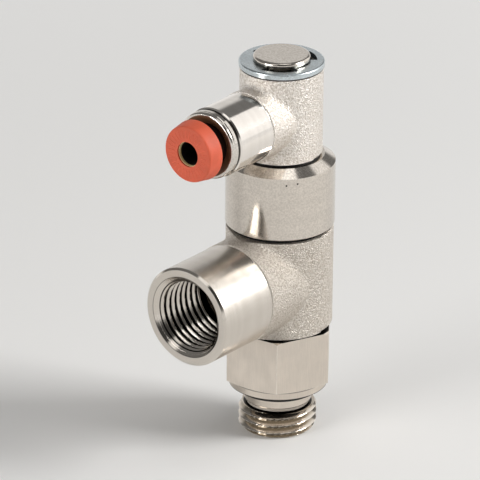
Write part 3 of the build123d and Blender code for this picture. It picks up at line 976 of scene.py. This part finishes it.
def skin_rings(form: bmesh.types.BMesh, rings: Sequence[Sequence[Vector]]) -> None:
    """Joins closed rings of points, each with as many as the next, by a band of faces.

    Args:
        form: the form that gets the bands.
        rings: the rings, in order.
    """
    made = [[form.verts.new(point) for point in ring] for ring in rings]
    for lower, upper in zip(made, made[1:]):
        for step in range(len(lower)):
            after = (step + 1) % len(lower)
            form.faces.new((lower[step], lower[after], upper[after], upper[step]))


def progress(value: float, start: float, end: float) -> float:
    """How far a value has come from start to end, held between 0 and 1."""
    return max(0.0, min(1.0, (value - start) / (end - start)))


@dataclass(frozen=True)
class ThreadForm:
    """Parallel pipe thread of rounded form.

    Attributes:
        pitch: distance from turn to turn.
        major_radius: the larger radius.
        depth: height of the thread.
        sharpness: 0 is a plain wave, 1 a sharp V.
    """

    pitch: float = 1.337 * MM
    major_radius: float = 6.5785 * MM
    depth: float = 0.856 * MM
    sharpness: float = 0.975

    def radius(self, turn: float, along: float) -> float:
        """Radius of the thread's surface.

        Args:
            turn: the angle round the axis, as a share of one turn.
            along: the distance along the axis.

        Returns:
            The radius there, in metres.
        """
        wave = math.cos(2 * math.pi * (along / self.pitch - turn)) * self.sharpness
        level = math.asin(wave) / math.asin(self.sharpness)
        return self.major_radius - self.depth * (1 - level) / 2


# The sub-assemblies

class Assembly(ABC):
    """A sub-assembly: it builds its own meshes and dresses its pieces."""

    finishes: ClassVar[dict[str, Finish]]

    def build(self) -> list[bpy.types.Object]:
        """Dresses the nodes that stay as they are, then adds what is built here."""
        kept = [finish.dress(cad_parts[node]) for node, finish in self.finishes.items()]
        return kept + self.extras()

    def extras(self) -> list[bpy.types.Object]:
        """Pieces that this sub-assembly adds to its nodes."""
        return []


@dataclass
class Stem(Assembly):
    """Threaded stem with its valve parts. A real thread takes the place of its plain end.

    Attributes:
        thread: the thread's form.
        length: length of the threaded end.
        lead: bevel at its free end.
        top_bevel: bevel at its upper end.
        inlet_radius: radius of the bore inside it.
        slack: how far a point may lie off these sizes.
        poppet_travel: how far the poppet opens; not used.
        points: points round the thread.
        rows: rows of points along it.
    """

    thread: ThreadForm = field(default_factory=ThreadForm)
    length: float = 4.4 * MM
    lead: float = 0.75 * MM
    top_bevel: float = 0.3 * MM
    inlet_radius: float = 4.5 * MM
    slack: float = 0.01 * MM
    poppet_travel: float = 2.0 * MM
    points: int = 256
    rows: int = 110
    finishes: ClassVar[dict[str, Finish]] = {
        "thread_seal_ring": RUBBER, "lower_ring_seal": RUBBER, "upper_ring_seal": RUBBER,
        "rod_seal": RUBBER, "rod_guide": BRASS, "spring_retainer": RETAINER_NICKEL,
    }

    def extras(self) -> list[bpy.types.Object]:
        """The whole stem with its thread, and a copy of the return spring."""
        return [self.threaded_stem(), self.working_spring()]

    def working_spring(self) -> bpy.types.Object:
        """Builds a copy of the return spring, in place of the node.

        Returns:
            The spring.
        """
        form = bmesh.new()
        form.from_mesh(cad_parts["poppet_spring"].data)
        piece = add_mesh("working_spring", Body.STEM, finish_mesh(form))
        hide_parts("poppet_spring")
        SPRING_STEEL.dress(piece)
        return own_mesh(piece)

    def threaded_stem(self) -> bpy.types.Object:
        """Builds the whole stem with its thread, in place of the plain one.

        Returns:
            The stem.
        """
        form = bmesh.new()
        form.from_mesh(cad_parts["threaded_stem"].data)
        bmesh.ops.remove_doubles(form, verts=form.verts, dist=0.001 * MM)
        self.cut_plain_end(form)
        skin_rings(form, [self.ring(row) for row in range(self.rows + 1)])
        for height in (0.0, self.length):
            self.close(form, height)
        piece = add_mesh("stem_with_thread", Body.STEM, finish_mesh(form, 22.0))
        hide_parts("threaded_stem")
        return STEM_NICKEL.dress(piece)

    def cut_plain_end(self, form: bmesh.types.BMesh) -> None:
        """Deletes the plain threaded end's outer faces and keeps the bore.

        Args:
            form: the stem's form.
        """
        plain = [
            face for face in form.faces
            if all(corner.co.z < self.length + self.slack for corner in face.verts)
            and any(corner.co.xy.length > self.inlet_radius + self.slack for corner in face.verts)
        ]
        bmesh.ops.delete(form, geom=plain, context="FACES")

    def ring(self, row: int) -> list[Vector]:
        """One ring of points round the thread.

        Args:
            row: its number, from the free end up.

        Returns:
            The points.
        """
        height = self.length * row / self.rows
        lead = self.thread.major_radius - self.lead + height
        top = self.thread.major_radius - self.top_bevel + self.length - height
        ring = []
        for step in range(self.points):
            turn = step / self.points
            radius = min(self.thread.radius(turn, height), lead, top)
            angle = 2 * math.pi * turn
            ring.append(Vector((radius * math.cos(angle), radius * math.sin(angle), height)))
        return ring

    def close(self, form: bmesh.types.BMesh, height: float) -> None:
        """Joins the two open rims at a height by a flat face.

        Args:
            form: the stem's form.
            height: the height of both rims.
        """
        rims = [
            edge for edge in form.edges
            if edge.is_boundary and all(abs(end.co.z - height) < self.slack for end in edge.verts)
        ]
        bmesh.ops.bridge_loops(form, edges=rims)


@dataclass
class PortRing(Assembly):
    """Swivelling port ring with the thread of its side port.

    Attributes:
        thread: the thread's form.
        bore_radius: radius of the plain bore that the lining lies in.
        axis_height: height of the port's axis.
        reach: distance from the main axis to the port's face.
        mouth_radius: radius of the mouth's bevel at the face.
        depth: depth of the thread from the face.
        fade: length over which it dies out at its inner end.
        first_turn: depths between which its first turn grows.
        skin: how far the thread's back lies inside the bore's wall.
        points: points round the thread.
        rows: rows of points along it.
    """

    thread: ThreadForm = field(default_factory=lambda: ThreadForm(major_radius=6.573 * MM))
    bore_radius: float = 6.5785 * MM
    axis_height: float = Axis.SIDE_PORT.value
    reach: float = 24.5 * MM
    mouth_radius: float = 7.0 * MM
    depth: float = 11.4 * MM
    fade: float = 1.0 * MM
    first_turn: tuple[float, float] = (0.95 * MM, 1.7 * MM)
    skin: float = 0.04 * MM
    points: int = 224
    rows: int = 210
    finishes: ClassVar[dict[str, Finish]] = {"port_ring": RING_NICKEL}

    def extras(self) -> list[bpy.types.Object]:
        """Builds the helical thread, as a thin lining of the side port's bore.

        Returns:
            The lining, as the only piece.
        """
        form = bmesh.new()
        start = self.mouth_radius - self.bore_radius
        depths = [start + (self.depth - start) * row / self.rows for row in range(self.rows + 1)]
        inner = [self.ring(depth) for depth in depths]
        back = [self.plain_ring(depth) for depth in (self.depth, start)]
        skin_rings(form, inner + back + inner[:1])
        bmesh.ops.remove_doubles(form, verts=form.verts, dist=0.0001 * MM)
        piece = add_mesh("side_port_thread", Body.RING, finish_mesh(form, 50.0))
        return [RING_NICKEL.dress(piece)]

    def place(self, turn: float, radius: float, depth: float) -> Vector:
        """Point at a share of a turn, a radius and a depth from the port's face."""
        across, up = (radius * wave(2 * math.pi * turn) for wave in (math.cos, math.sin))
        return Vector((across, depth - self.reach, self.axis_height + up))

    def ring(self, depth: float) -> list[Vector]:
        """One ring of points along the thread's surface.

        Args:
            depth: its depth from the port's face.

        Returns:
            The points.
        """
        major = self.thread.major_radius
        minor = major - self.thread.depth
        grown = progress(depth, *self.first_turn)
        fading = progress(depth, self.depth - self.fade, self.depth)
        ring = []
        for step in range(self.points):
            turn = step / self.points
            radius = minor + (self.thread.radius(-turn, depth) - minor) * grown
            radius = max(radius, self.mouth_radius - depth)
            radius += max(0.0, major - radius) * fading
            ring.append(self.place(turn, radius, depth))
        return ring

    def plain_ring(self, depth: float) -> list[Vector]:
        """One ring of points along the lining's back, inside the wall."""
        radius = self.bore_radius + self.skin
        return [self.place(step / self.points, radius, depth) for step in range(self.points)]


@dataclass
class PilotCylinder(Assembly):
    """Collar over the piston, with its seals and the washer that holds the elbow."""

    finishes: ClassVar[dict[str, Finish]] = {
        "pilot_cylinder": COLLAR_NICKEL, "retaining_washer": ZINC, "cylinder_seal": RUBBER,
        "top_gap_seal": RUBBER, "neck_gap_seal": RUBBER, "elbow_lower_seal": RUBBER,
        "elbow_upper_seal": RUBBER,
    }


@dataclass
class PilotElbow(Assembly):
    """Swivelling pilot elbow with the parts inside its push-in port."""

    finishes: ClassVar[dict[str, Finish]] = {
        "pilot_elbow": ELBOW_NICKEL, "cartridge_cap": CAP_NICKEL, "tube_seal": RUBBER,
        "seal_spacer": BRASS, "gripping_ring": GRIP_STEEL,
    }


@dataclass
class ReleaseCollet(Assembly):
    """Orange release collet with its liner, and a ring of fine moulded ribs on its face.

    Attributes:
        axis_height: height of the port's axis.
        face_reach: distance from the main axis to the collet's face.
        rib_start: radius at which a rib starts.
        rib_end: radius at which it ends.
        rib_width: width of a rib at its foot.
        rib_height: how far it stands proud.
        rib_count: ribs round the face.
    """

    axis_height: float = Axis.PILOT_PORT.value
    face_reach: float = 24.23 * MM
    rib_start: float = 2.75 * MM
    rib_end: float = 4.05 * MM
    rib_width: float = 0.16 * MM
    rib_height: float = 0.05 * MM
    rib_count: int = 30
    finishes: ClassVar[dict[str, Finish]] = {"release_collet": ORANGE, "collet_liner": LINER_BRASS}

    def extras(self) -> list[bpy.types.Object]:
        """Builds the ribs.

        Returns:
            All ribs, as one piece.
        """
        form = bmesh.new()
        for rib in range(self.rib_count):
            self.add_rib(form, 2 * math.pi * rib / self.rib_count)
        piece = add_mesh("collet_face_ribs", Body.COLLET, finish_mesh(form, 80.0))
        return [ORANGE.dress(piece)]

    def add_rib(self, form: bmesh.types.BMesh, angle: float) -> None:
        """Adds one rib with sloped sides, sunk a little into the face.

        Args:
            form: the form that gets it.
            angle: where it lies round the axis, in radians.
        """
        outward = Vector((math.cos(angle), 0.0, math.sin(angle)))
        across = Vector((-math.sin(angle), 0.0, math.cos(angle)))
        centre = Vector((0.0, -self.face_reach, self.axis_height))
        height = self.rib_height
        loops = []
        for proud, inset in ((-height, 0.0), (0.0, 0.0), (height, height)):
            half = self.rib_width / 2 - inset
            near, far = self.rib_start + inset, self.rib_end - inset
            spans = ((near, -half), (far, -half), (far, half), (near, half))
            raised = Vector((0.0, -proud, 0.0))
            loops.append([centre + outward * run + across * side + raised for run, side in spans])
        skin_rings(form, loops)
        rims = [edge for edge in form.edges if edge.is_boundary]
        bmesh.ops.holes_fill(form, edges=rims, sides=4)


@dataclass
class Piston(Assembly):
    """Pilot piston and its seal."""

    finishes: ClassVar[dict[str, Finish]] = {"pilot_piston": BRASS, "piston_seal": RUBBER}


@dataclass
class Poppet(Assembly):
    """Check poppet and its seal."""

    finishes: ClassVar[dict[str, Finish]] = {"poppet": BRASS, "poppet_seal": RUBBER}


# Floor, light and camera

def shown_rays(sketch: Sketch) -> Socket:
    """Mask of the rays that show the backdrop: the camera's own, and those in metal and glass.

    Args:
        sketch: the node tree that uses the mask.

    Returns:
        The mask.
    """
    paths = sketch.add("ShaderNodeLightPath").outputs
    mirrored = sketch.math("MAXIMUM", paths["Is Glossy Ray"], paths["Is Transmission Ray"])
    return sketch.math("MAXIMUM", paths["Is Camera Ray"], mirrored)


@dataclass(frozen=True)
class PaleFloor(Finish):
    """Matt pale studio floor with a faint unevenness, which fades into the backdrop.

    Attributes:
        backdrop: brightness of the backdrop.
        fade: distances from the object at which the fade starts and ends.
    """

    backdrop: float = 0.86
    fade: tuple[float, float] = (0.1, 0.45)

    def paint(self, sketch: Sketch, position: Socket) -> Inputs:
        """Draws barely visible clouds, and the backdrop's own brightness far from the object.

        Args:
            sketch: the material's node tree.
            position: the place on the floor, in metres.

        Returns:
            The inputs of its Principled shader, by name.
        """
        colour = self.clouded(sketch, sketch.noise(position, 6.0, 3.0), 0.985)
        far = sketch.spread(sketch.radius(sketch.parts(position)), *self.fade)
        far = sketch.product(far, shown_rays(sketch))
        return {
            "Base Color": sketch.tint(far, colour, BLACK),
            "Roughness": self.roughness,
            "Specular IOR Level": 0.0,
            "Emission Color": LAMP_WHITE,
            "Emission Strength": sketch.product(far, self.backdrop),
        }


@dataclass(frozen=True)
class Softbox:
    """A soft lamp.

    Attributes:
        name: the lamp's name.
        azimuth: degrees from -Y towards +X that it stands at.
        elevation: degrees above the floor.
        distance: metres from the object.
        width: its width in metres.
        height: its height in metres.
        radiance: how bright its face is; 1 is white.
    """

    name: str
    azimuth: float
    elevation: float
    distance: float
    width: float
    height: float
    radiance: float

    def build(self, target: Vector) -> bpy.types.Object:
        """Hangs the lamp and points it at a target.

        Args:
            target: the point that it faces.

        Returns:
            The lamp.
        """
        lamp = bpy.data.lights.new(self.name, "AREA")
        lamp.shape = "RECTANGLE"
        lamp.size = self.width
        lamp.size_y = self.height
        lamp.energy = self.radiance * math.pi * self.width * self.height
        holder = bpy.data.objects.new(self.name, lamp)
        back = direction(self.azimuth, self.elevation)
        holder.location = target + back * self.distance
        holder.rotation_mode = "QUATERNION"
        holder.rotation_quaternion = back.to_track_quat("Z", "Y")
        bpy.context.scene.collection.objects.link(holder)
        return holder


def direction(azimuth: float, elevation: float) -> Vector:
    """Unit vector towards an azimuth from -Y to +X and an elevation, in degrees."""
    turn, rise = math.radians(azimuth), math.radians(elevation)
    return Vector((math.sin(turn) * math.cos(rise), -math.cos(turn) * math.cos(rise),
                   math.sin(rise)))


@dataclass(frozen=True)
class SkyPanel:
    """A part of the surroundings that differs from the rest, such as a lit wall or a dark corner.

    Attributes:
        azimuth: degrees from -Y towards +X that it stands at.
        elevation: degrees above the floor.
        spread: degrees from its middle to its edge.
        radiance: how much brighter it is, or darker below 0.
        core: share of the spread that is evenly bright.
    """

    azimuth: float
    elevation: float
    spread: float
    radiance: float
    core: float = 0.6

    def draw(self, sketch: Sketch, towards: Socket) -> Socket:
        """Its light towards a direction.

        Args:
            sketch: the world's node tree.
            towards: the direction.

        Returns:
            The light that it adds there.
        """
        middle = tuple(direction(self.azimuth, self.elevation))
        edge, core = (math.cos(math.radians(self.spread * part)) for part in (1.0, self.core))
        near = sketch.compare("DOT_PRODUCT", towards, middle)
        return sketch.spread(near, edge, core, 0.0, self.radiance)


@dataclass
class Studio:
    """Pale floor, sky with a few panels, and soft lamps.

    Attributes:
        floor_radius: radius of the floor.
        floor_points: points round its edge.
        floor_drop: how far the floor lies under the object.
        sky: brightness of the surroundings.
        backdrop: brightness of what the camera sees past the floor, and of what metal shows near
            the horizon.
        horizon: sine of the elevations between which metal stops showing the backdrop.
        panels: parts of the surroundings that are brighter or darker.
        softboxes: the lamps.
    """

    floor_radius: float = 4.0
    floor_points: int = 96
    floor_drop: float = 0.01 * MM
    sky: float = 0.18
    backdrop: float = 0.86
    horizon: tuple[float, float] = (0.05, 0.2)
    panels: Sequence[SkyPanel] = (
        SkyPanel(140.0, 18.0, 39.0, 0.88, 0.93),
        SkyPanel(86.0, 80.0, 14.5, 1.2, 0.85),
        SkyPanel(-128.0, 8.0, 36.0, 0.5),
        SkyPanel(35.0, 36.0, 26.0, -0.12),
        SkyPanel(0.0, 51.0, 14.0, 0.95),
        SkyPanel(-170.0, 44.0, 26.0, -0.02, 0.35),
    )
    softboxes: Sequence[Softbox] = (
        Softbox("key_softbox", 121.0, 32.0, 0.9, 0.33, 0.42, 13.0),
        Softbox("fill_softbox", -15.0, 14.0, 0.8, 0.4, 0.4, 5.0),
    )

    def build(self) -> None:
        """Builds floor, sky and lamps."""
        self.lay_floor()
        self.light_sky()
        target = Vector((0.0, 0.0, (CAD_BOX[0].z + CAD_BOX[1].z) / 2))
        for softbox in self.softboxes:
            softbox.build(target)
            log.info("lamp %s", softbox.name)

    def lay_floor(self) -> None:
        """Lays the floor as one disc."""
        form = bmesh.new()
        bmesh.ops.create_circle(form, cap_ends=True, segments=self.floor_points,
                                radius=self.floor_radius)
        drop = (0.0, 0.0, CAD_BOX[0].z - self.floor_drop)
        bmesh.ops.translate(form, verts=form.verts, vec=drop)
        floor = bpy.data.objects.new("floor", finish_mesh(form))
        bpy.context.scene.collection.objects.link(floor)
        PaleFloor("floor_paint", srgb(242, 241, 239), 0.7, self.backdrop).dress(floor)

    def light_sky(self) -> None:
        """Lights the object by an even sky with panels, and shows the camera a pale backdrop."""
        world = bpy.data.worlds.new("studio_sky")
        world.use_nodes = True
        sketch = Sketch(world.node_tree)
        towards = sketch.add("ShaderNodeTexCoord").outputs["Generated"]
        light = self.sky
        for panel in self.panels:
            light = sketch.math("ADD", light, panel.draw(sketch, towards))
        low = sketch.spread(sketch.parts(towards)["Z"], self.horizon[1], self.horizon[0])
        seen = sketch.add("ShaderNodeLightPath").outputs["Is Camera Ray"]
        shown = sketch.math("MAXIMUM", seen, sketch.product(low, shown_rays(sketch)))
        strength = sketch.blend(shown, light, sketch.math("MAXIMUM", light, self.backdrop))
        inputs = {"Color": LAMP_WHITE, "Strength": strength}
        background = sketch.add("ShaderNodeBackground", inputs).outputs[0]
        sketch.add("ShaderNodeOutputWorld", {"Surface": background})
        bpy.context.scene.world = world


@dataclass
class PhotoCamera:
    """Camera at the photograph's viewing angle.

    Attributes:
        azimuth: degrees from -Y towards +X.
        elevation: degrees above the floor.
        roll: degrees that the picture is turned.
        distance: metres from the marked point.
        focal_pixels: focal length in pixels of the photograph.
        marked_height: height of a point on the main axis.
        marked_pixel: where the photograph shows that point.
        clip: nearest and farthest distance that it sees.
    """

    azimuth: float = 38.4
    elevation: float = 23.87
    roll: float = -0.71
    distance: float = 0.9
    focal_pixels: float = 5403.84
    marked_height: float = 35.4 * MM
    marked_pixel: tuple[float, float] = (279.61, 231.54)
    clip: tuple[float, float] = (0.05, 20.0)

    def build(self) -> bpy.types.Object:
        """Sets the camera up and makes it the scene's own.

        Returns:
            The camera.
        """
        lens = bpy.data.cameras.new("photo_camera")
        lens.sensor_width = SENSOR_WIDTH
        lens.lens = self.focal_pixels / PHOTO_SIDE * SENSOR_WIDTH
        lens.clip_start, lens.clip_end = self.clip
        camera = bpy.data.objects.new("photo_camera", lens)
        back = direction(self.azimuth, self.elevation)
        camera.location = Vector((0.0, 0.0, self.marked_height)) + back * self.distance
        right = (self.marked_pixel[0] - PHOTO_SIDE / 2) / self.focal_pixels
        up = (PHOTO_SIDE / 2 - self.marked_pixel[1]) / self.focal_pixels
        aim = Vector((right, up, -1.0)).rotation_difference(Vector((0.0, 0.0, -1.0)))
        level = back.to_track_quat("Z", "Y")
        roll = Quaternion((0.0, 0.0, 1.0), math.radians(-self.roll))
        camera.rotation_mode = "QUATERNION"
        camera.rotation_quaternion = level @ roll @ aim
        bpy.context.scene.collection.objects.link(camera)
        bpy.context.scene.camera = camera
        return camera


def main() -> None:
    """Builds the studio and the valve, and reports each piece."""
    logging.basicConfig(level=logging.INFO, format="%(name)s: %(message)s")
    bpy.context.scene.view_settings.view_transform = "Standard"
    Studio().build()
    PhotoCamera().build()
    assemblies = (Stem(), PortRing(), PilotCylinder(), PilotElbow(), ReleaseCollet(), Piston(),
                  Poppet())
    for assembly in assemblies:
        for piece in assembly.build():
            faces = len(piece.data.polygons)
            log.info("%s: %s, %d faces", type(assembly).__name__, piece.name, faces)


if __name__ == "__main__":
    main()
